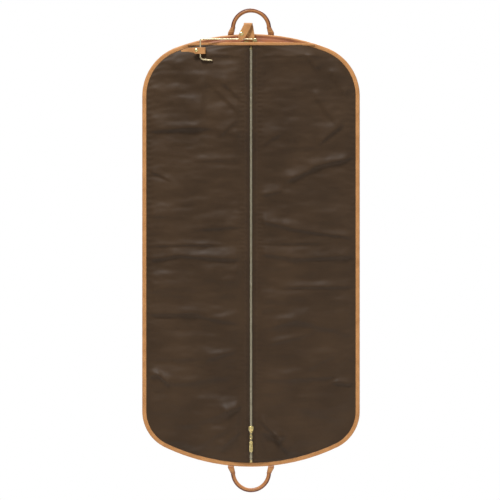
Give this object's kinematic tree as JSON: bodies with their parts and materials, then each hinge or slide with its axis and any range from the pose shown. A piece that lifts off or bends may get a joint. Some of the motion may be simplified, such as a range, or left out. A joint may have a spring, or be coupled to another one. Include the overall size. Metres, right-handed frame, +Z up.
{
  "type": "garment bag",
  "caption": "Long hanging garment bag of dark nylon bound in tan leather, with a full-length front zip, rolled handles top and bottom and a folding brass hook.",
  "frame": {"origin": "inside crown of the top handle's grip, where a hand or peg carries the hanging bag, at the middle of the bound edge's thickness", "axes": "+Z up along the bag's length towards the hook, front with the zip faces -Y, +X to the viewer's right"},
  "size_m": [0.57, 0.0344, 1.2676],
  "materials": {
    "nylon_cloth": "plain weave, slight sheen",
    "binding_leather": "smooth vegetable tanned",
    "gusset_leather": "smooth, darker",
    "handle_leather": "rolled and burnished",
    "strap_leather": "smooth vegetable tanned",
    "zip_tape": "woven tape",
    "zip_brass": "satin",
    "bright_brass": "polished",
    "hook_brass": "polished",
    "bracket_brass": "satin",
    "inner_steel": "brushed"
  },
  "bodies": {
    "root": {"back_panel_upper": "nylon_cloth", "front_left_upper": "nylon_cloth", "front_right_upper": "nylon_cloth", "binding_upper": "binding_leather", "front_top_binding": "binding_leather", "gusset": "gusset_leather", "zip_tape_left_upper": "zip_tape", "zip_tape_right_upper": "zip_tape", "zip_teeth_left_upper": "zip_brass", "zip_teeth_right_upper": "zip_brass", "zip_top_stops": "zip_brass", "hook_pin": "hook_brass", "hook_bracket": "bracket_brass", "backing_plate": "inner_steel", "bracket_rivets": "bracket_brass", "hanger_bar": "inner_steel", "hanger_bar_posts": "inner_steel", "strap_riser": "strap_leather", "strap_snap_stud": "bright_brass", "tab_base": "strap_leather", "tab_snap_stud": "bright_brass"},
    "lower_half": {"back_panel_lower": "nylon_cloth", "front_left_lower": "nylon_cloth", "front_right_lower": "nylon_cloth", "binding_lower": "binding_leather", "zip_tape_left_lower": "zip_tape", "zip_tape_right_lower": "zip_tape", "zip_teeth_left_lower": "zip_brass", "zip_teeth_right_lower": "zip_brass", "zip_bottom_stop": "zip_brass"},
    "slider": {"slider_body": "bright_brass"},
    "pull": {"pull_chain": "bright_brass"},
    "pull_tab": {"pull_tab": "bright_brass"},
    "top_handle": {"top_handle_grip": "handle_leather", "top_handle_anchor_left": "handle_leather", "top_handle_anchor_right": "handle_leather"},
    "bottom_handle": {"bottom_handle_grip": "handle_leather", "bottom_handle_anchor_left": "handle_leather", "bottom_handle_anchor_right": "handle_leather"},
    "hook": {"hanging_hook": "hook_brass"},
    "strap_flap": {"strap_flap": "strap_leather", "strap_snap_cap": "bright_brass"},
    "tab_tongue": {"tab_tongue": "strap_leather", "tab_snap_cap": "bright_brass"}
  },
  "joints": [
    {"name": "mid_fold", "type": "hinge", "parent": "root", "child": "lower_half", "pos_m": [0, 0.0038, -0.62265], "axis": [-1, 0, 0], "range_deg": [-178, 0]},
    {"name": "zip_slide", "type": "slide", "parent": "lower_half", "child": "slider", "axis": [0, -0.0163, 0.9999], "range_m": [-0.075, 0.983]},
    {"name": "pull_lift", "type": "hinge", "parent": "slider", "child": "pull", "pos_m": [0, -0.01283, -1.08959], "axis": [-1, 0, 0], "range_deg": [0, 160]},
    {"name": "pull_swing", "type": "hinge", "parent": "pull", "child": "pull_tab", "pos_m": [0, -0.01227, -1.12418], "axis": [0, 0.9999, 0.0163], "range_deg": [-60, 60]},
    {"name": "top_handle_tilt", "type": "hinge", "parent": "root", "child": "top_handle", "pos_m": [0, 0, -0.05316], "axis": [-1, 0, 0], "range_deg": [-80, 80]},
    {"name": "bottom_handle_tilt", "type": "hinge", "parent": "lower_half", "child": "bottom_handle", "pos_m": [0, 0, -1.192], "axis": [1, 0, 0], "range_deg": [-80, 80]},
    {"name": "hook_swing", "type": "hinge", "parent": "root", "child": "hook", "pos_m": [0.01, -0.023, -0.0736], "axis": [0, 1, 0], "range_deg": [0, 90], "deforming": ["tab_tongue", "tab_snap_cap", "strap_flap", "strap_snap_cap"]},
    {"name": "strap_flap_lift", "type": "hinge", "parent": "root", "child": "strap_flap", "pos_m": [-0.009, -0.0223, -0.033], "axis": [-1, 0, 0], "range_deg": [0, 140]},
    {"name": "tab_open", "type": "hinge", "parent": "root", "child": "tab_tongue", "pos_m": [-0.124, -0.02163, -0.1015], "axis": [0, 0, 1], "range_deg": [0, 150]}
  ]
}
